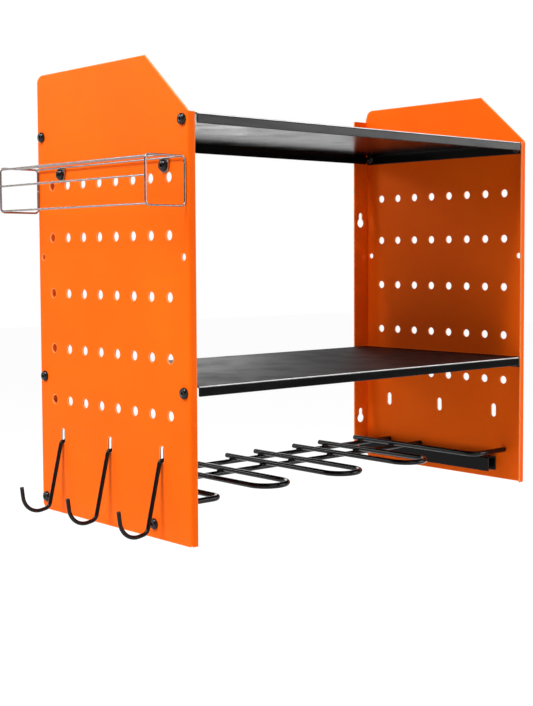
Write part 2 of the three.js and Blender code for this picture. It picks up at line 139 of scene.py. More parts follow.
# Shelves
SHELF_SHEET = 0.0012
FRONT_LIP = 0.0085
REAR_LIP = 0.010
SHELF_END_FLANGE = 0.011
FRONT_LIP_END = 0.0073
REAR_LIP_END = 0.0021
LIP_CORNER = 0.001

# Channels
CHANNEL_SHEET = 0.0012
CHANNEL_SCREW_DROP = 0.011

# Rods and wires
ROD_SIDES = 24
BEND_STEPS = 10
FEWEST_BEND_STEPS = 3
CAP_STEPS = 5
RACK_ROD = 0.005
RACK_ROD_END = 0.0006
FINGER_SPAN = 0.038
ARM_BEND = 0.010
SIDE_WIRE = 0.0018
SIDE_RACK_CORNER = 0.0035
SIDE_LOOP_END = 0.0002
SIDE_RAIL_END = 0.0003
HOOK_ROD = 0.0035
HOOK_END = 0.0005
HOOK_LEG = 0.021
HOOK_THROAT = 0.002
HOOK_DROP = 0.058
HOOK_SPLAY = 0.0135
HOOK_MOUTH = 0.0245
HOOK_DIP = 0.0046
HOOK_TIP_RISE = 0.0263
HOOK_TIP_LEAN = 0.0033
HOOK_BEND = 0.0025
HOOK_CUP_BEND = 0.006
HOOK_NOSE_BEND = 0.016
GAP = 0.0003
SIDE_RAIL_INTO_LOOP = 3 * GAP

# Beads of weld: half their sizes, and where they sit beside and above a cross rod
ROD_WELD = (0.0026, 0.0026, 0.0011)
CHANNEL_WELD = (0.0040, 0.0014, 0.0010)
CHANNEL_WELD_ASIDE_SHARE = 0.42
CHANNEL_WELD_RISE_SHARE = 0.16
WELD_SUBDIVISIONS = 3
WELD_UNEVENNESS = 0.07
WELD_WAVES = (9, 5, 7)

# Screws
HEAD_DIAMETER = 0.0095
HEAD_HEIGHT = 0.00275
HEAD_RIM = 0.0005
HEAD_EDGE = 0.0002
CROWN_DIAMETER = 0.005
CROWN_EDGE = 0.0003
CROWN_STEPS = 8
SOCKET_ACROSS_FLATS = 0.003
SOCKET_DEPTH = 0.0015
SOCKET_DISH = 0.0004
SOCKET_FILLET = 0.0001
SOCKET_FLOOR_SHARE = 0.97
SOCKET_EDGE = 0.0003
SOCKET_EDGE_TOP_SHARE = 0.25
SOCKET_CIRCLE_SHARE = 0.62
SOCKET_RIM_SHARE = 0.70
SHANK = 0.0048
SHANK_FILLET = 0.0003
SHANK_FILLET_END = 0.0004
SCREW_LENGTH = 0.010
SCREW_TIP_CHAMFER = 0.0007
THREAD_PITCH = 0.0008
THREAD_DEPTH = 0.00042
THREAD_START = 0.0030
THREAD_STOP = 0.0012
SCREW_TURN = 2.4
TURN_STEPS = 48

# Nuts
NUT_ACROSS_FLATS = 0.008
NUT_THICKNESS = 0.004
NUT_FACE_SHARE = 0.96
NUT_CHAMFER_ANGLE = 30
NUT_BORE_CHAMFER = 0.0004
NUT_TURN = math.pi / 6

HOOKS = ("rear", "middle", "front")

# How worn a place is, from 0 to 1
FULLY_WORN = 1
WELL_WORN = 0.6
HALF_WORN = 0.5
PARTLY_WORN = 0.4
LIGHTLY_WORN = 0.3


# Outlines

def arc(centre, radius, start, end, steps=CORNER_STEPS):
    """Points on a circle from one angle to another, in degrees"""
    x, y = centre
    angles = [math.radians(start + (end - start) * i / steps) for i in range(steps + 1)]
    return [Vector((x + radius * math.cos(a), y + radius * math.sin(a))) for a in angles]


def both_halves(points):
    """An outline whose right half is given, from front to rear, and whose left half mirrors it"""
    return points + [Vector((-p.x, p.y)) for p in reversed(points)]


def round_hole(x, y, diameter):
    """A circle run clockwise, as holes are"""
    return arc((x, y), diameter / 2, 360, 360 / HOLE_STEPS, HOLE_STEPS - 1)


def upright_slot(x, bottom, width, height):
    radius = width / 2
    top = arc((x, bottom + height - radius), radius, 180, 0)
    return top + arc((x, bottom + radius), radius, 0, -180)


def keyhole(x, y):
    """Round end centred on the point, with a narrow slot above it"""
    wide, narrow = KEYHOLE_ROUND / 2, KEYHOLE_SLOT / 2
    meeting = math.degrees(math.acos(narrow / wide))
    top = arc((x, y + KEYHOLE_RISE - narrow), narrow, 180, 0)
    return top + arc((x, y), wide, meeting, -180 - meeting, 2 * CORNER_STEPS)


def inset(points, distance):
    """A loop moved to its left, where the material is, with its corners kept sharp"""
    moved = []
    for i, point in enumerate(points):
        before = (point - points[i - 1]).normalized()
        after = (points[(i + 1) % len(points)] - point).normalized()
        left = Vector((-before.y, before.x))
        mitre = left + Vector((-after.y, after.x))
        moved.append(point + mitre * (distance / mitre.dot(left)))
    return moved


# Sheet metal

def vertex_layer(bm, name):
    """A number kept on each vertex, which materials read by its name"""
    layers = bm.verts.layers.float
    return layers.get(name) or layers.new(name)


def rim_profile(thickness):
    """Inset and depth of each ring round an edge, and how worn it is"""
    half = RIM * (1 - math.sqrt(0.5))
    upper = [(RIM + WEAR, 0, 0), (RIM, 0, 1), (half, half, 1), (0, RIM, 1)]
    return upper + [(x, thickness - z, worn) for x, z, worn in reversed(upper)]


def flat_sheet(outline, holes, thickness):
    """A plate with rounded rims whose upper face is at Z = 0

    Its outline runs anticlockwise and its holes run clockwise.
    """
    bm = bmesh.new()
    worn_layer = vertex_layer(bm, "worn")
    faces = {0: [], -1: []}
    for loop in [outline, *holes]:
        rings = []
        for distance, depth, worn in rim_profile(thickness):
            ring = [bm.verts.new((p.x, p.y, -depth)) for p in inset(loop, distance)]
            for vert in ring:
                vert[worn_layer] = worn
            rings.append(ring)
        for upper, lower in zip(rings, rings[1:]):
            for i in range(len(upper)):
                j = (i + 1) % len(upper)
                bm.faces.new((upper[i], lower[i], lower[j], upper[j]))
        for end, edges in faces.items():
            ring = rings[end]
            edges += [bm.edges.get((ring[i - 1], ring[i])) for i in range(len(ring))]
    for edges in faces.values():
        bmesh.ops.triangle_fill(bm, use_beauty=True, use_dissolve=False, edges=edges)
    return bm


def cut_across(bm, axis, places):
    """Adds edges where planes across an axis meet the mesh"""
    normal = Vector((0, 0, 0))
    normal[axis] = 1
    for place in places:
        everything = bm.verts[:] + bm.edges[:] + bm.faces[:]
        bmesh.ops.bisect_plane(
            bm, geom=everything, dist=CUT_TOLERANCE, plane_co=normal * place, plane_no=normal)


def fold_length(radius):
    """Length of a right-angled bend along its outer face"""
    return radius * math.pi / 2


def fold(bm, axis, line, way, radius, with_painted_highlight=False):
    """Folds what lies beyond a line down by a right angle, about the sheet's upper face

    Where asked, the middle of the bend's outer face is marked for a painted highlight.
    """
    arc_length = fold_length(radius)
    cut_across(bm, axis, [line + way * arc_length * i / FOLD_STEPS for i in range(FOLD_STEPS + 1)])
    highlight_layer = vertex_layer(bm, "lightened")
    for vert in bm.verts:
        beyond = way * (vert.co[axis] - line)
        if beyond > 0:
            if with_painted_highlight and vert.co.z > -TOUCHING and HIGHLIGHT_START < beyond / arc_length < HIGHLIGHT_END:
                vert[highlight_layer] = 1.0
            angle = min(beyond / radius, math.pi / 2)
            reach = radius + vert.co.z
            vert.co[axis] = line + way * reach * math.sin(angle)
            vert.co.z = -radius + reach * math.cos(angle) - max(0, beyond - arc_length)


def smooth_mesh(name, bm, edge_angle):
    """A mesh with smooth faces, split where they meet at more than an angle"""
    mesh = bpy.data.meshes.new(name)
    bm.normal_update()
    bm.to_mesh(mesh)
    bm.free()
    mesh.polygons.foreach_set("use_smooth", [True] * len(mesh.polygons))
    mesh.set_sharp_from_angle(angle=math.radians(edge_angle))
    return mesh


def place_in_scene(name, data):
    made = bpy.data.objects.new(name, data)
    bpy.context.scene.collection.objects.link(made)
    return made


def finish_mesh(name, bm, edge_angle=SHEET_EDGE):
    """An object of a smooth mesh, whose large faces stay flat in the light"""
    bmesh.ops.recalc_face_normals(bm, faces=bm.faces[:])
    piece = place_in_scene(name, smooth_mesh(name, bm, edge_angle))
    weighted = piece.modifiers.new("normals", "WEIGHTED_NORMAL")
    weighted.keep_sharp = True
    weighted.weight = FACE_AREA_WEIGHT
    return piece


def dress(piece, node, material, body="root"):
    """Puts a finished piece in a node's place"""
    piece.data.materials.append(material)
    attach(piece, body)
    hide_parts(node)


# Materials

# Sockets of a Mix node that mixes colours: its share, its two colours and what it makes of them
MIX_SHARE, MIX_FIRST, MIX_SECOND, MIX_RESULT = 0, 6, 7, 2


class Finish:
    """A node material, built up from the object's own coordinates"""

    def __init__(self, name):
        self.material = bpy.data.materials.new(name)
        self.material.use_nodes = True
        self.nodes = self.material.node_tree.nodes
        self.links = self.material.node_tree.links
        self.shader = self.nodes["Principled BSDF"]
        self.place = self.nodes.new("ShaderNodeTexCoord").outputs["Object"]
        self.worn = self.layer("worn")

    def node(self, kind, inputs=None, **settings):
        """A new node; an input that is a socket is linked, and any other is set"""
        made = self.nodes.new(kind)
        for key, value in settings.items():
            setattr(made, key, value)
        for key, value in (inputs or {}).items():
            if isinstance(value, bpy.types.NodeSocket):
                self.links.new(value, made.inputs[key])
            else:
                made.inputs[key].default_value = value
        return made

    def layer(self, name):
        return self.node("ShaderNodeAttribute", attribute_name=name).outputs["Fac"]

    def noise(self, scale, detail=2, stretch=None):
        """Noise of so many features to the metre, stretched along each axis"""
        place = self.place
        if stretch:
            place = self.node("ShaderNodeMapping", {"Vector": place, "Scale": stretch}).outputs[0]
        inputs = {"Vector": place, "Scale": scale, "Detail": detail}
        return self.node("ShaderNodeTexNoise", inputs).outputs["Fac"]

    def spread(self, value, low, high, to_low=0.0, to_high=1.0):
        """A value from one range carried over to another, and held at its ends"""
        inputs = {"Value": value, "From Min": low, "From Max": high,
                  "To Min": to_low, "To Max": to_high}
        return self.node("ShaderNodeMapRange", inputs).outputs["Result"]

    def maths(self, operation, a, b):
        return self.node("ShaderNodeMath", {0: a, 1: b}, operation=operation).outputs[0]

    def mix(self, share, a, b):
        inputs = {MIX_SHARE: share, MIX_FIRST: a, MIX_SECOND: b}
        return self.node("ShaderNodeMix", inputs, data_type="RGBA").outputs[MIX_RESULT]

    def blend(self, share, a, b):
        inputs = {0: share, 1: a.outputs[0], 2: b.outputs[0]}
        return self.node("ShaderNodeMixShader", inputs)

    def set(self, name, value):
        if isinstance(value, bpy.types.NodeSocket):
            self.links.new(value, self.shader.inputs[name])
        else:
            self.shader.inputs[name].default_value = value

    def bump(self, height, distance, strength, under=None):
        inputs = {"Height": height, "Distance": distance, "Strength": strength}
        if under:
            inputs["Normal"] = under
        return self.node("ShaderNodeBump", inputs).outputs["Normal"]


# Noises of the powder coat: features to the metre, detail and stretch
COAT_CLOUDS = (9, 3)
COAT_SPECKLE = (1500, 1)
COAT_CHIPS = (260, 3)
COAT_STREAKS = (60, 3, (1, 4, 4))
COAT_SCUFFS = (34, 4, (1, 1, 6))

# Ranges of noise or wear that a look grows over, some with what they grow from and to
CLOUDY = (0.3, 0.7)
SPECKLED = (0.35, 0.65)
STREAKED = (0.3, 0.6, 0.7, 1.0)
SCUFF_ROUGHNESS = (0.45, 0.75, 0, 0.10)
CHIPPED_RIM = (0.35, 0.9)
# Range over which the rims pale, partly thinner paint there and partly a painted highlight
THIN_RIM_AND_HIGHLIGHT = (0.2, 1.0)
FACING_UP = (0.9, 1.0)
CHIP_SOFTNESS = 0.05

# Shares and roughnesses of the powder coat
SPECKLE_SHARE = 0.16
SPECKLE_DARKNESS = 0.82
# How far the rims pale, partly thinner paint and partly a painted highlight
THIN_RIM_AND_HIGHLIGHT_SHARE = 0.5
CLOUDS_SMOOTHER, CLOUDS_ROUGHER = 0.03, 0.04
# Roughness kept under the painted highlight along marked bends
HIGHLIGHT_BAND_ROUGHNESS = 0.4

# Bumps: distance in metres and strength
PEEL = (0.00012, 0.35)
GRAIN = (0.00004, 0.4)
CHIP = (-0.00005, 0.6)

# Colours of the powder coats
ORANGE = (0.94, 0.118, 0.003, 1)
PALE_ORANGE = (0.98, 0.138, 0.004, 1)
# Pale orange of the rims, partly thinner paint and partly a painted highlight
ORANGE_RIM_AND_HIGHLIGHT = (1.0, 0.42, 0.16, 1)
BARE_STEEL = (0.30, 0.27, 0.25, 1)
BLACK = (0.003, 0.003, 0.0033, 1)
PALE_BLACK = (0.006, 0.006, 0.0064, 1)
# Paler black of the rims, partly thinner coat and partly a painted highlight
BLACK_RIM_AND_HIGHLIGHT = (0.05, 0.05, 0.05, 1)
RUBBED_BLACK = (0.13, 0.13, 0.13, 1)
# Near white, painted along the shelves' front bends as a highlight
PAINTED_HIGHLIGHT = (0.93, 0.93, 0.93, 1)
ORANGE_GLINT = (1.0, 0.55, 0.25, 1)


def powder_coat(name, deep, pale, rim_and_highlight, bare, roughness, grain, peel, chips, stood_on=0):
    """Baked powder: a fine orange peel, faint clouds of colour, and chips along the rims

    Grain and peel are features to the metre, and chips show where their noise is higher than given.
    Marked bends get a painted highlight. Faces that look up are dulled by what has stood on them.
    """
    finish = Finish(name)
    clouds = finish.spread(finish.noise(*COAT_CLOUDS), *CLOUDY)
    speckle = finish.spread(finish.noise(*COAT_SPECKLE), *SPECKLED)
    colour = finish.mix(clouds, deep, pale)
    darker = [channel * SPECKLE_DARKNESS for channel in deep[:3]] + [1]
    colour = finish.mix(finish.maths("MULTIPLY", speckle, SPECKLE_SHARE), colour, darker)
    # A near-white highlight, painted along marked bends and broken into streaks
    streaks = finish.spread(finish.noise(*COAT_STREAKS), *STREAKED)
    bright = finish.maths("MULTIPLY", finish.layer("lightened"), streaks)
    colour = finish.mix(bright, colour, PAINTED_HIGHLIGHT)
    broken = finish.spread(finish.noise(*COAT_CHIPS), chips, chips + CHIP_SOFTNESS)
    chipped = finish.maths("MULTIPLY", finish.spread(finish.worn, *CHIPPED_RIM), broken)
    colour = finish.mix(chipped, colour, bare)
    # Rims paled towards their own colour: partly thinner paint, partly a painted highlight
    thin_and_highlight = finish.maths("MULTIPLY", finish.spread(finish.worn, *THIN_RIM_AND_HIGHLIGHT), THIN_RIM_AND_HIGHLIGHT_SHARE)
    finish.set("Base Color", finish.mix(thin_and_highlight, colour, rim_and_highlight))
    scuffs = finish.spread(finish.noise(*COAT_SCUFFS), *SCUFF_ROUGHNESS)
    rough = finish.spread(
        clouds, 0, 1, roughness - CLOUDS_SMOOTHER, roughness + CLOUDS_ROUGHER)
    rough = finish.maths("ADD", rough, scuffs)
    if stood_on:
        normal = finish.node("ShaderNodeNewGeometry").outputs["Normal"]
        upward = finish.node("ShaderNodeSeparateXYZ", {"Vector": normal}).outputs["Z"]
        rough = finish.maths("ADD", rough, finish.spread(upward, *FACING_UP, 0, stood_on))
    # Where the highlight is painted, the coat is kept at least this rough
    highlight_band_roughness = finish.maths("MULTIPLY", bright, HIGHLIGHT_BAND_ROUGHNESS)
    finish.set("Roughness", finish.maths("MAXIMUM", rough, highlight_band_roughness))
    peeled = finish.bump(finish.noise(peel), *PEEL)
    grained = finish.bump(finish.noise(grain), *GRAIN, peeled)
    finish.set("Normal", finish.bump(chipped, *CHIP, grained))
    return finish


orange = powder_coat("orange_powder_coat", ORANGE, PALE_ORANGE, ORANGE_RIM_AND_HIGHLIGHT, BARE_STEEL,
                     roughness=0.42, grain=2600, peel=700, chips=0.62)
orange.set("Specular IOR Level", 0.08)
orange.set("Specular Tint", ORANGE_GLINT)

black = powder_coat("black_powder_coat", BLACK, PALE_BLACK, BLACK_RIM_AND_HIGHLIGHT, RUBBED_BLACK,
                    roughness=0.15, grain=3000, peel=1100, chips=0.66, stood_on=0.32)
black.set("Specular IOR Level", 0.1)

gloss = powder_coat("gloss_black_rod", BLACK, PALE_BLACK, BLACK_RIM_AND_HIGHLIGHT, RUBBED_BLACK,
                    roughness=0.12, grain=1200, peel=420, chips=0.62)
gloss.set("Specular IOR Level", 0.22)


def bare_metal(name, dull, bright, lightened, mottle, wear, wear_share, metallic, roughness,
               grain, grain_bump):
    """Metal whose colour and roughness vary with a mottle, rubbed where it is worn"""
    finish = Finish(name)
    mottled = finish.spread(finish.noise(*mottle), *CLOUDY)
    worn = finish.maths("MULTIPLY", finish.spread(finish.worn, *wear), wear_share)
    finish.set("Base Color", finish.mix(worn, finish.mix(mottled, dull, bright), lightened))
    finish.set("Metallic", metallic)
    finish.set("Roughness", finish.spread(mottled, 0, 1, *roughness))
    finish.set("Normal", finish.bump(finish.noise(*grain), *grain_bump))
    return finish


# Bright plated wire, a little cloudy, with faint marks from drawing
wire_steel = bare_metal(
    "bright_wire_steel", dull=(0.23, 0.20, 0.185, 1), bright=(0.32, 0.28, 0.265, 1),
    lightened=(0.52, 0.49, 0.48, 1), mottle=(500, 3), wear=(0.0, 1.0), wear_share=0.5, metallic=1.0,
    roughness=(0.16, 0.28), grain=(1500, 2, (1, 0.1, 1)), grain_bump=(0.00002, 0.5))

# Black oxide on machined steel, brighter on its edges
screw_steel = bare_metal(
    "black_screw_steel", dull=(0.003, 0.003, 0.0033, 1), bright=(0.007, 0.007, 0.0075, 1),
    lightened=(0.20, 0.20, 0.21, 1), mottle=(900, 3), wear=(0.3, 1.0), wear_share=0.35, metallic=0.3,
    roughness=(0.10, 0.17), grain=(2400, 2), grain_bump=(0.00003, 0.5))


# Side panels

def column_y(column):
    low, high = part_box("side_panel_left")
    pitch = (high.y - low.y - PEG_FRONT_MARGIN - PEG_REAR_MARGIN) / (PEG_COLUMNS - 1)
    return -PEG_REAR_MARGIN - column * pitch


def centre_of(node):
    low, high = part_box(node)
    return (low + high) / 2


def side_word(side):
    return "left" if side < 0 else "right"


def screw_hole(node):
    centre = centre_of(node)
    return round_hole(centre.y, centre.z, SCREW_HOLE)


def web_holes(side):
    """Peg holes, hook slots and screw holes, in the web's own place: x is Y and y is Z"""
    holes = [round_hole(column_y(c), PEG_MIDDLE_ROW + row, PEG_HOLE)
             for c in range(PEG_COLUMNS) for row in PEG_ROWS]
    for slot in range(len(HOOKS)):
        c = slot * COLUMNS_PER_HOOK_SLOT
        y = (column_y(c) + column_y(c + 1)) / 2
        holes.append(upright_slot(y, HOOK_SLOT_BOTTOM, HOOK_SLOT_WIDTH, HOOK_SLOT_HEIGHT))
    word = side_word(side)
    screws = [f"screw_{what}_{word}_{end}" for what in ("top_shelf", "middle_shelf", "channel")
              for end in ("rear", "front")]
    if side < 0:
        screws += ["screw_side_rack_rear", "screw_side_rack_front"]
    holes += [screw_hole(screw) for screw in screws]
    for end in ("rear", "front"):
        upper = centre_of(f"screw_top_shelf_{word}_{end}")
        holes.append(round_hole(upper.y, upper.z - SHELF_PITCH, SCREW_HOLE))
    return holes


def panel_outline(depth, height, radius):
    """The panel unfolded: its web between a narrow front flange and a wide rear one"""
    turned = fold_length(radius)
    rear_edge = -radius + turned + REAR_FLANGE - radius
    front_edge = -depth + radius - turned - FRONT_FLANGE + radius

    def rise(inward, corner):
        """How high a rounded corner leaves the sheet's edge, at a distance in from its end"""
        across = max(0, corner - inward)
        return corner - math.sqrt(corner ** 2 - across ** 2)

    def rear_corner():
        span = []
        for i in range(CORNER_STEPS + 1):
            y = -REAR_CORNER + (REAR_CORNER - radius) * i / CORNER_STEPS
            span.append(Vector((y, rise(-y, REAR_CORNER))))
        for i in range(1, CORNER_STEPS + 1):
            angle = math.pi / 2 * i / CORNER_STEPS
            u = -radius + turned * i / CORNER_STEPS
            span.append(Vector((u, rise(radius - radius * math.sin(angle), REAR_CORNER))))
        return span

    def front_top():
        span = []
        for i in range(CORNER_STEPS + 1):
            angle = math.pi / 2 * i / CORNER_STEPS
            inward = radius - radius * math.sin(angle)
            u = -depth + radius - turned * i / CORNER_STEPS
            z = height - CHAMFER_HEIGHT + inward * CHAMFER_HEIGHT / CHAMFER_DEPTH
            span.append(Vector((u, z)))
        return span

    def front_bottom():
        """Round the corner from the web to the flange, each rounded off where they meet"""
        span = []
        for i in range(CORNER_STEPS):
            inward = FRONT_CORNER - (FRONT_CORNER - radius) * i / CORNER_STEPS
            span.append(Vector((-depth + inward, rise(inward, FRONT_CORNER))))
        for i in range(CORNER_STEPS + 1):
            angle = math.pi / 2 * i / CORNER_STEPS
            inward = radius - radius * min(math.sin(angle), math.cos(angle))
            u = -depth + radius - turned * i / CORNER_STEPS
            span.append(Vector((u, rise(inward, FRONT_CORNER))))
        for i in range(1, CORNER_STEPS + 1):
            inward = radius + (FRONT_FLANGE - radius) * i / CORNER_STEPS
            u = front_edge + FRONT_FLANGE - inward
            span.append(Vector((u, rise(inward, FRONT_CORNER))))
        return span

    corner = REAR_FLANGE_CORNER
    flange_low, flange_high = REAR_FLANGE_INSET, height - REAR_FLANGE_INSET
    points = rear_corner()
    points.append(Vector((-radius + turned, flange_low)))
    points += arc((rear_edge - corner, flange_low + corner), corner, -90, 0)
    points += arc((rear_edge - corner, flange_high - corner), corner, 0, 90)
    points.append(Vector((-radius + turned, flange_high)))
    points += [Vector((p.x, height - p.y)) for p in reversed(rear_corner())]
    points.append(Vector((-depth + CHAMFER_DEPTH, height)))
    points += front_top()
    points.append(Vector((front_edge, height - CHAMFER_HEIGHT)))
    points += reversed(front_bottom())
    return points


def side_panel(node, side):
    low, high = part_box(node)
    depth, height = high.y - low.y, high.z - low.z
    radius = PANEL_SHEET + FOLD_INSIDE
    flange_middle = -radius + fold_length(radius) + (PANEL_SHEET + REAR_FLANGE) / 2 - radius
    holes = web_holes(side) + [keyhole(flange_middle, z) for z in KEYHOLES]
    bm = flat_sheet(panel_outline(depth, height, radius), holes, PANEL_SHEET)
    fold(bm, 0, -radius, 1, radius)
    fold(bm, 0, -depth + radius, -1, radius)
    outer = high.x if side > 0 else low.x
    for vert in bm.verts:
        y, z, inward = vert.co
        vert.co = (outer + side * inward, y, z)
    dress(finish_mesh(f"{node}_folded", bm), node, orange.material)


side_panel("side_panel_left", -1)
side_panel("side_panel_right", 1)


# Shelves

def shelf(node):
    """A plate whose four edges fold down, its corners cut away"""
    low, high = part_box(node)
    radius = SHELF_SHEET + FOLD_INSIDE
    turned = fold_length(radius)
    x, front, rear = high.x, low.y, high.y
    end_u = x - radius + turned + SHELF_END_FLANGE - radius
    front_v = front + radius - turned - FRONT_LIP + radius
    rear_v = rear - radius + turned + REAR_LIP - radius
    lip_front, lip_rear = x - FRONT_LIP_END, x - REAR_LIP_END
    flange_front = front + PANEL_SHEET + 2 * GAP
    flange_rear = rear - SHELF_SHEET - GAP
    r = LIP_CORNER
    half = arc((lip_front - r, front_v + r), r, -90, 0)
    half.append(Vector((lip_front, flange_front)))
    half += arc((end_u - r, flange_front + r), r, -90, 0)
    half += arc((end_u - r, flange_rear - r), r, 0, 90)
    half.append(Vector((lip_rear, flange_rear)))
    half += arc((lip_rear - r, rear_v - r), r, 0, 90)
    drop = high.z - centre_of(f"screw_{node}_left_rear").z
    hole_u = x - radius + turned + drop - radius
    holes = [round_hole(side * hole_u, y, SCREW_HOLE) for side in (-1, 1)
             for y in (-REAR_SCREW, front + SHELF_FRONT_SCREW)]
    bm = flat_sheet(both_halves(half), holes, SHELF_SHEET)
    fold(bm, 0, x - radius, 1, radius)
    fold(bm, 0, -x + radius, -1, radius)
    fold(bm, 1, rear - radius, 1, radius)
    # A highlight is painted along the top of the front bend
    fold(bm, 1, front + radius, -1, radius, with_painted_highlight=True)
    bmesh.ops.translate(bm, verts=bm.verts, vec=(0, 0, high.z))
    dress(finish_mesh(f"{node}_folded", bm), node, black.material)


shelf("top_shelf")
shelf("middle_shelf")


# Channels of the drill rack

def channel(node, side):
    """A strip folded like an upturned gutter"""
    low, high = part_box(node)
    radius = CHANNEL_SHEET + FOLD_INSIDE
    turned = fold_length(radius)
    width, height = high.x - low.x, high.z - low.z
    end_u = width / 2 - radius + turned + height - radius
    r = LIP_CORNER
    half = arc((end_u - r, low.y + r), r, -90, 0) + arc((end_u - r, high.y - r), r, 0, 90)
    hole_u = side * (width / 2 - radius + turned + CHANNEL_SCREW_DROP - radius)
    screws = [f"screw_channel_{side_word(side)}_{end}" for end in ("rear", "front")]
    holes = [round_hole(hole_u, centre_of(screw).y, SCREW_HOLE) for screw in screws]
    bm = flat_sheet(both_halves(half), holes, CHANNEL_SHEET)
    fold(bm, 0, width / 2 - radius, 1, radius)
    fold(bm, 0, -width / 2 + radius, -1, radius)
    bmesh.ops.translate(bm, verts=bm.verts, vec=((low.x + high.x) / 2, 0, high.z))
    dress(finish_mesh(f"{node}_folded", bm), node, black.material)


channel("rack_channel_left", -1)
channel("rack_channel_right", 1)


# Rods and wires

def bent_line(corners, radii):
    """Points and headings along straight runs that meet in round bends"""
    corners = [Vector(c) for c in corners]
    headings = [(b - a).normalized() for a, b in zip(corners, corners[1:])]
    line = [(corners[0], headings[0])]
    for corner, arriving, leaving, radius in zip(corners[1:], headings, headings[1:], radii):
        turn = arriving.angle(leaving)
        start = corner - arriving * radius * math.tan(turn / 2)
        across = (leaving - arriving * arriving.dot(leaving)).normalized()
        steps = max(FEWEST_BEND_STEPS, round(BEND_STEPS * turn / (math.pi / 2)))
        for i in range(steps + 1):
            angle = turn * i / steps
            ahead = arriving * radius * math.sin(angle)
            point = start + ahead + across * radius * (1 - math.cos(angle))
            heading = arriving * math.cos(angle) + across * math.sin(angle)
            if (point - line[-1][0]).length > TOUCHING:
                line.append((point, heading))
    line.append((corners[-1], headings[-1]))
    return line


def add_rod(bm, corners, radii, diameter, side, end_round):
    """A closed round rod along its corners, whose bends all lie in the plane across its side"""
    worn_layer = vertex_layer(bm, "worn")
    radius = diameter / 2
    side = Vector(side)
    line = bent_line(corners, radii)
    rings = []

    def ring(point, heading, size, worn=0.0):
        out = side.cross(heading).normalized()
        made = []
        for i in range(ROD_SIDES):
            angle = 2 * math.pi * i / ROD_SIDES
            vert = bm.verts.new(point + size * (out * math.cos(angle) + side * math.sin(angle)))
            vert[worn_layer] = worn
            made.append(vert)
        rings.append(made)

    def cap(point, heading, way):
        """Rings that round off an end which lies on a point"""
        for i in range(CAP_STEPS + 1)[::way]:
            angle = math.pi / 2 * i / CAP_STEPS
            place = point + heading * way * end_round * (math.sin(angle) - 1)
            size = radius - end_round * (1 - math.cos(angle))
            ring(place, heading, size, FULLY_WORN if i else PARTLY_WORN)

    cap(*line[0], -1)
    for point, heading in line[1:-1]:
        ring(point, heading, radius)
    cap(*line[-1], 1)
    for near, far in zip(rings, rings[1:]):
        for i in range(ROD_SIDES):
            j = (i + 1) % ROD_SIDES
            bm.faces.new((near[i], near[j], far[j], far[i]))
    for end, (point, _) in ((rings[0], line[0]), (rings[-1], line[-1])):
        middle = bm.verts.new(point)
        middle[worn_layer] = FULLY_WORN
        for i in range(ROD_SIDES):
            bm.faces.new((end[i], end[(i + 1) % ROD_SIDES], middle))


def add_weld(bm, centre, size):
    """A bead of weld: a closed blob, a little uneven"""
    made = bmesh.ops.create_icosphere(bm, subdivisions=WELD_SUBDIVISIONS, radius=1)["verts"]
    for vert in made:
        phase = sum(wave * along for wave, along in zip(WELD_WAVES, vert.co))
        uneven = 1 + WELD_UNEVENNESS * math.sin(phase)
        vert.co = Vector(centre) + Vector([a * b * uneven for a, b in zip(vert.co, size)])


def gloss_rod(node, bm, body="root"):
    dress(finish_mesh(f"{node}_round", bm, ROD_EDGE), node, gloss.material, body)


def plated_rod(node, bm):
    dress(finish_mesh(f"{node}_round", bm, ROD_EDGE), node, wire_steel.material)


cross_rods = {end: centre_of(f"cross_rod_{end}") for end in ("rear", "front")}
seam_z = (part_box("cross_rod_rear")[1].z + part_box("drill_finger_left")[0].z) / 2

for end, centre in cross_rods.items():
    node = f"cross_rod_{end}"
    low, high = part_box(node)
    bm = bmesh.new()
    route = [(low.x, centre.y, centre.z), (high.x, centre.y, centre.z)]
    add_rod(bm, route, [], RACK_ROD, (0, 0, 1), RACK_ROD_END)
    for word in ("left", "right"):
        carrier = centre_of(f"rack_channel_{word}")
        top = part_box(f"rack_channel_{word}")[1].z
        for way in (-1, 1):
            aside = way * RACK_ROD * CHANNEL_WELD_ASIDE_SHARE
            place = (carrier.x, centre.y + aside, top + RACK_ROD * CHANNEL_WELD_RISE_SHARE)
            add_weld(bm, place, CHANNEL_WELD)
    gloss_rod(node, bm)

for word in ("left", "middle", "right"):
    node = f"drill_finger_{word}"
    low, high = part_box(node)
    centre = (low + high) / 2
    half = FINGER_SPAN / 2
    x0, x1 = centre.x - half, centre.x + half
    nose = low.y + RACK_ROD / 2
    z = centre.z
    route = [(x0, high.y, z), (x0, nose, z), (x1, nose, z), (x1, high.y, z)]
    bm = bmesh.new()
    add_rod(bm, route, [half, half], RACK_ROD, (0, 0, 1), RACK_ROD_END)
    for x in (x0, x1):
        for rod in cross_rods.values():
            add_weld(bm, (x, rod.y, seam_z), ROD_WELD)
    gloss_rod(node, bm)

for word, side in (("left", -1), ("right", 1)):
    node = f"drill_arm_{word}"
    low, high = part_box(node)
    z = (low.z + high.z) / 2
    inner = low.x if side > 0 else high.x
    outer = high.x if side > 0 else low.x
    x, front = inner + side * RACK_ROD / 2, low.y + RACK_ROD / 2
    bm = bmesh.new()
    route = [(x, high.y, z), (x, front, z), (outer, front, z)]
    add_rod(bm, route, [ARM_BEND], RACK_ROD, (0, 0, 1), RACK_ROD_END)
    for rod in cross_rods.values():
        add_weld(bm, (x, rod.y, seam_z), ROD_WELD)
    gloss_rod(node, bm)


# Side rack

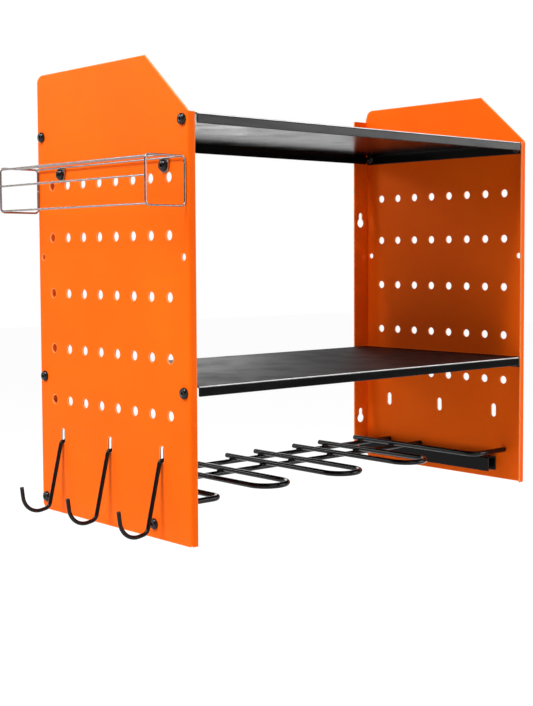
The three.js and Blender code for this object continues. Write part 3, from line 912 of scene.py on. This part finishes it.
def side_loop(node):
    """A wire bent round into a rectangle, whose ends meet halfway up its inner side"""
    low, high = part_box(node)
    radius = SIDE_WIRE / 2
    centre = (low + high) / 2
    top, bottom = high.z - radius, low.z + radius
    outer, inner = low.x + radius, high.x - radius
    corners = [(inner, centre.z + GAP / 2), (inner, top), (outer, top), (outer, bottom),
               (inner, bottom), (inner, centre.z - GAP / 2)]
    route = [(x, centre.y, z) for x, z in corners]
    bm = bmesh.new()
    add_rod(bm, route, [SIDE_RACK_CORNER] * 4, SIDE_WIRE, (0, 1, 0), SIDE_LOOP_END)
    plated_rod(node, bm)


def side_rail(node):
    """A straight wire from loop to loop, which runs a little way into both"""
    low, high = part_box(node)
    centre = (low + high) / 2
    bm = bmesh.new()
    route = [(centre.x, y, centre.z)
             for y in (low.y - SIDE_RAIL_INTO_LOOP, high.y + SIDE_RAIL_INTO_LOOP)]
    add_rod(bm, route, [], SIDE_WIRE, (0, 0, 1), SIDE_RAIL_END)
    plated_rod(node, bm)


def side_tab(node):
    """A plate with a round lower end, drawn in Y and Z"""
    low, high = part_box(node)
    half = (high.y - low.y) / 2
    centre = (low + high) / 2
    screw = centre_of(node.replace("side_rack_tab", "screw_side_rack"))
    r = LIP_CORNER
    outline = arc((screw.y, screw.z), half, 180, 360, 2 * CORNER_STEPS)
    outline += arc((centre.y + half - r, high.z - r), r, 0, 90)
    outline += arc((centre.y - half + r, high.z - r), r, 90, 180)
    bm = flat_sheet(outline, [round_hole(screw.y, screw.z, SCREW_HOLE)], high.x - low.x)
    for vert in bm.verts:
        y, z, inward = vert.co
        vert.co = (low.x - inward, y, z)
    dress(finish_mesh(f"{node}_plate", bm), node, wire_steel.material)


for end in ("front", "rear"):
    side_loop(f"side_rack_{end}_loop")
    side_tab(f"side_rack_tab_{end}")
for place in ("top", "middle", "bottom", "inner", "back"):
    side_rail(f"side_rack_{place}_rail")


# Tool hooks

def tool_hook(word):
    """From the leg inside the panel, through the slot and down outside, to the tip of the cup"""
    node = f"tool_hook_{word}"
    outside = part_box("side_panel_left")[0].x
    y = centre_of(node).y
    leg = outside + PANEL_SHEET + GAP + HOOK_ROD / 2
    throat = outside - HOOK_THROAT
    crossing = HOOK_SLOT_BOTTOM + GAP + HOOK_ROD / 2
    foot = crossing - HOOK_DROP
    cup = throat - HOOK_SPLAY - HOOK_MOUTH
    route = [(leg, y, crossing + HOOK_LEG), (leg, y, crossing), (throat, y, crossing),
             (throat - HOOK_SPLAY, y, foot), (cup, y, foot - HOOK_DIP),
             (cup - HOOK_TIP_LEAN, y, foot - HOOK_DIP + HOOK_TIP_RISE)]
    bm = bmesh.new()
    radii = [HOOK_BEND, HOOK_BEND, HOOK_CUP_BEND, HOOK_NOSE_BEND]
    add_rod(bm, route, radii, HOOK_ROD, (0, 1, 0), HOOK_END)
    gloss_rod(node, bm, f"hook_{word}")


for word in HOOKS:
    tool_hook(word)


# Screws and nuts

def hexagon_radius(angle, across_flats):
    """Distance from the centre of a hexagon to its side, in a direction"""
    sixth = math.pi / 3
    return across_flats / 2 / math.cos((angle + sixth / 2) % sixth - sixth / 2)


def turned_mesh(name, rings, edge_angle):
    """A closed mesh of rings round Z, from one end to the other or round a bore

    A ring is its radius, its height, either of which may be a function of the angle, and its wear.
    """
    bm = bmesh.new()
    worn_layer = vertex_layer(bm, "worn")
    rows = []
    for radius, height, worn in rings:
        if radius == 0:
            vert = bm.verts.new((0, 0, height))
            vert[worn_layer] = worn
            rows.append([vert] * TURN_STEPS)
            continue
        row = []
        for i in range(TURN_STEPS):
            angle = 2 * math.pi * i / TURN_STEPS
            r = radius(angle) if callable(radius) else radius
            z = height(angle) if callable(height) else height
            vert = bm.verts.new((r * math.cos(angle), r * math.sin(angle), z))
            vert[worn_layer] = worn
            row.append(vert)
        rows.append(row)
    for near, far in zip(rows, rows[1:]):
        for i in range(TURN_STEPS):
            j = (i + 1) % TURN_STEPS
            corners = list(dict.fromkeys([near[i], near[j], far[j], far[i]]))
            if len(corners) > 2:
                bm.faces.new(corners)
    if rows[0][0] is not rows[0][1]:
        for i in range(TURN_STEPS):
            j = (i + 1) % TURN_STEPS
            bm.faces.new((rows[-1][i], rows[-1][j], rows[0][j], rows[0][i]))
    bmesh.ops.recalc_face_normals(bm, faces=bm.faces[:])
    return smooth_mesh(name, bm, edge_angle)


def screw_mesh():
    """Button head with a hexagon socket; the head's underside is at Z = 0"""
    head, crown, shank = HEAD_DIAMETER / 2, CROWN_DIAMETER / 2, SHANK / 2
    floor = HEAD_HEIGHT - SOCKET_DEPTH

    def socket(angle):
        return hexagon_radius(angle, SOCKET_ACROSS_FLATS)

    def socket_floor(angle):
        return socket(angle) * SOCKET_FLOOR_SHARE

    def socket_mouth(angle):
        """Halfway from the hexagon to a circle round it"""
        return (socket(angle) + SOCKET_ACROSS_FLATS * SOCKET_CIRCLE_SHARE) / 2 + SOCKET_FILLET

    rings = [(0, floor - SOCKET_DISH, 0),
             (socket_floor, floor, 0),
             (socket, floor + SOCKET_FILLET, 0),
             (socket, HEAD_HEIGHT - SOCKET_EDGE, WELL_WORN),
             (socket_mouth, HEAD_HEIGHT - SOCKET_EDGE * SOCKET_EDGE_TOP_SHARE, FULLY_WORN),
             (SOCKET_ACROSS_FLATS * SOCKET_RIM_SHARE, HEAD_HEIGHT, HALF_WORN),
             (crown - CROWN_EDGE, HEAD_HEIGHT, 0)]
    for i in range(CROWN_STEPS + 1):
        angle = math.pi / 2 * (1 - i / CROWN_STEPS)
        rings.append((crown + (head - crown) * math.cos(angle),
                      HEAD_RIM + (HEAD_HEIGHT - HEAD_RIM) * math.sin(angle), 0))
    rings += [(head, HEAD_RIM / 2, HALF_WORN),
              (head - HEAD_EDGE, -HEAD_EDGE, WELL_WORN),
              (shank + SHANK_FILLET, -HEAD_EDGE, 0),
              (shank, -SHANK_FILLET_END, 0)]
    height = -THREAD_START
    while height > -SCREW_LENGTH + THREAD_STOP:
        rings += [(shank, height, LIGHTLY_WORN),
                  (shank - THREAD_DEPTH, height - THREAD_PITCH / 2, 0)]
        height -= THREAD_PITCH
    rings += [(shank, height, LIGHTLY_WORN),
              (shank - SCREW_TIP_CHAMFER, -SCREW_LENGTH, 0),
              (0, -SCREW_LENGTH, 0)]
    return turned_mesh("screw", rings, SCREW_EDGE)


def nut_mesh():
    """Hexagon nut with its corners turned away at both ends; Z from 0 to its thickness"""
    bore = SHANK / 2 + GAP
    face = NUT_ACROSS_FLATS / 2 * NUT_FACE_SHARE
    slope = math.tan(math.radians(NUT_CHAMFER_ANGLE))

    def corner(angle):
        return hexagon_radius(angle, NUT_ACROSS_FLATS)

    def bottom(angle):
        return (corner(angle) - face) * slope

    def top(angle):
        return NUT_THICKNESS - bottom(angle)

    rings = [(bore, NUT_THICKNESS - NUT_BORE_CHAMFER, 0),
             (bore + NUT_BORE_CHAMFER, NUT_THICKNESS, HALF_WORN),
             (face, NUT_THICKNESS, PARTLY_WORN),
             (corner, top, FULLY_WORN),
             (corner, bottom, FULLY_WORN),
             (face, 0, PARTLY_WORN),
             (bore + NUT_BORE_CHAMFER, 0, HALF_WORN),
             (bore, NUT_BORE_CHAMFER, 0)]
    return turned_mesh("nut", rings, NUT_EDGE)


def fastener(node, turned, thickness, turn):
    """Sets a screw or a nut across its panel, by the end that faces away from the rack's middle"""
    low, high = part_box(node)
    centre = (low + high) / 2
    side = 1 if centre.x > 0 else -1
    outer = high.x if side > 0 else low.x
    mesh = turned.copy()
    spin = Matrix.Rotation(turn, 4, "Z")
    face = Matrix.Rotation(side * math.pi / 2, 4, "Y")
    place = Matrix.Translation((outer - side * thickness, centre.y, centre.z))
    mesh.transform(place @ face @ spin)
    piece = place_in_scene(f"{node}_turned", mesh)
    dress(piece, node, screw_steel.material)


screw, nut = screw_mesh(), nut_mesh()
fasteners = sorted(node for node in frame["nodes"] if node.startswith(("screw_", "nut_")))
for index, node in enumerate(fasteners):
    if node.startswith("screw_"):
        fastener(node, screw, HEAD_HEIGHT, SCREW_TURN * index)
    else:
        fastener(node, nut, NUT_THICKNESS, NUT_TURN)


# Floor, light and camera

# Half the floor's width, and how far it lies below the rack
FLOOR_REACH = 8.0
FLOOR_DROP = 0.34

# The floor glows a little over white, for this share of what the camera sees of it. Mirrored, it
# brightens from before the rack to behind it.
FLOOR_GLOW = 1.12
FLOOR_SEEN_SHARE = 0.85
FLOOR_MIRRORED = (-1.0, 1.0, 0.15, 0.95)

# How bright the pale room is, where 1 is white: to matt surfaces, and mirrored in shiny ones from
# before the rack to behind it
ROOM_LIGHT = 0.12
ROOM_MIRRORED = (-0.4, 0.4, 0.12, 0.3)

WHITE = (1, 1, 1, 1)
FLOOR_WHITE = (0.9, 0.9, 0.9, 1)
FLOOR_GREY = (0.86, 0.86, 0.86, 1)
FLOOR_CLOUDS = 3
FLOOR_ROUGHNESS = 0.7

# Lamps: name, place, what they face, size and watts
RACK_MIDDLE = (0, -0.11, 0.2)
LAMPS = (
    ("key", (-1.9, -0.1, 1.9), RACK_MIDDLE, (0.9, 0.9), 57),
    ("rear", (-1.55, 1.6, 0.95), RACK_MIDDLE, (0.6, 0.6), 9),
    ("front", (-0.3, -2.4, 0.6), RACK_MIDDLE, (1.4, 1.2), 10),
    ("top", (0.1, -0.5, 2.2), RACK_MIDDLE, (1.6, 1.6), 10),
    ("lip", (1.55, -1.75, 0.6), (0.1, -0.2, 0.34), (1.3, 0.5), 18),
    ("right", (2.3, 0.2, 0.7), RACK_MIDDLE, (1.4, 1.4), 20),
    ("spark", (-0.9, -0.35, 2.1), RACK_MIDDLE, (0.25, 0.25), 12),
    ("back", (0.9, 2.1, 0.9), RACK_MIDDLE, (1.6, 1.6), 16),
)


def floor():
    """White to the camera where the light falls on it, keeping a soft shadow; unseen from below"""
    reach = FLOOR_REACH
    mesh = bpy.data.meshes.new("floor")
    corners = [(-reach, -reach), (reach, -reach), (reach, reach), (-reach, reach)]
    mesh.from_pydata([(x, y, -FLOOR_DROP) for x, y in corners], [], [(0, 1, 2, 3)])
    place_in_scene("floor", mesh)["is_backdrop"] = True
    finish = Finish("pale_floor")
    finish.set("Base Color", finish.mix(finish.noise(FLOOR_CLOUDS), FLOOR_GREY, FLOOR_WHITE))
    finish.set("Roughness", FLOOR_ROUGHNESS)
    glow = finish.node("ShaderNodeEmission", {"Color": WHITE, "Strength": FLOOR_GLOW})
    rays = finish.node("ShaderNodeLightPath")
    depth = finish.node("ShaderNodeSeparateXYZ", {"Vector": finish.place}).outputs["Y"]
    mirrored = finish.maths(
        "MULTIPLY", rays.outputs["Is Glossy Ray"], finish.spread(depth, *FLOOR_MIRRORED))
    seen = finish.maths("MULTIPLY", rays.outputs["Is Camera Ray"], FLOOR_SEEN_SHARE)
    seen = finish.maths("MAXIMUM", seen, mirrored)
    lit = finish.blend(seen, finish.shader, glow)
    behind = finish.node("ShaderNodeNewGeometry").outputs["Backfacing"]
    both = finish.blend(behind, lit, finish.node("ShaderNodeBsdfTransparent"))
    finish.links.new(both.outputs[0], finish.nodes["Material Output"].inputs["Surface"])
    mesh.materials.append(finish.material)


def area_light(name, place, target, size, power):
    light = bpy.data.lights.new(name, "AREA")
    light.shape = "RECTANGLE"
    light.size, light.size_y = size
    light.energy = power
    lamp = place_in_scene(name, light)
    lamp.location = place
    lamp.rotation_euler = (Vector(target) - Vector(place)).to_track_quat("-Z", "Y").to_euler()


def world():
    """White to the camera, and a pale room to everything else"""
    surroundings = bpy.data.worlds.new("surroundings")
    bpy.context.scene.world = surroundings
    surroundings.use_nodes = True
    nodes, links = surroundings.node_tree.nodes, surroundings.node_tree.links
    nodes.clear()
    rays = nodes.new("ShaderNodeLightPath").outputs

    def join(operation, first, second):
        node = nodes.new("ShaderNodeMath")
        node.operation = operation
        for socket, value in zip(node.inputs, (first, second)):
            if isinstance(value, float):
                socket.default_value = value
            else:
                links.new(value, socket)
        return node.outputs[0]

    seen = join("MAXIMUM", rays["Is Camera Ray"], rays["Is Transmission Ray"])
    way = nodes.new("ShaderNodeSeparateXYZ")
    links.new(nodes.new("ShaderNodeTexCoord").outputs["Generated"], way.inputs["Vector"])
    depth = nodes.new("ShaderNodeMapRange")
    links.new(way.outputs["Y"], depth.inputs["Value"])
    for socket, value in zip(("From Min", "From Max", "To Min", "To Max"), ROOM_MIRRORED):
        depth.inputs[socket].default_value = value
    mirrored = join("MULTIPLY", rays["Is Glossy Ray"], depth.outputs["Result"])
    strength = join("MAXIMUM", join("MAXIMUM", seen, mirrored), ROOM_LIGHT)
    background = nodes.new("ShaderNodeBackground")
    background.inputs["Color"].default_value = WHITE
    links.new(strength, background.inputs["Strength"])
    output = nodes.new("ShaderNodeOutputWorld")
    links.new(background.outputs[0], output.inputs["Surface"])


def camera():
    """The photograph's viewpoint, turned by its yaw, pitch and roll"""
    data = bpy.data.cameras.new("camera")
    data.sensor_width = SENSOR
    data.lens = SENSOR * CAMERA_FOCAL / PHOTO_HEIGHT
    data.shift_x = (PHOTO_WIDTH / 2 - CAMERA_CENTRE[0]) / PHOTO_HEIGHT
    data.shift_y = (CAMERA_CENTRE[1] - PHOTO_HEIGHT / 2) / PHOTO_HEIGHT
    yaw, pitch, roll = CAMERA_YAW, CAMERA_PITCH, CAMERA_ROLL
    across, ahead = math.sin(yaw) * math.cos(pitch), math.cos(yaw) * math.cos(pitch)
    forward = Vector((across, ahead, math.sin(pitch)))
    level = Vector((math.cos(yaw), -math.sin(yaw), 0))
    above = level.cross(forward)
    right = level * math.cos(roll) + above * math.sin(roll)
    up = above * math.cos(roll) - level * math.sin(roll)
    turned = Matrix((right, up, -forward)).transposed()
    viewer = place_in_scene("camera", data)
    viewer.matrix_world = Matrix.Translation(CAMERA_PLACE) @ turned.to_4x4()
    bpy.context.scene.camera = viewer


floor()
for lamp in LAMPS:
    area_light(*lamp)
world()
camera()
bpy.context.scene.view_settings.view_transform = "Standard"

low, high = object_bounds()
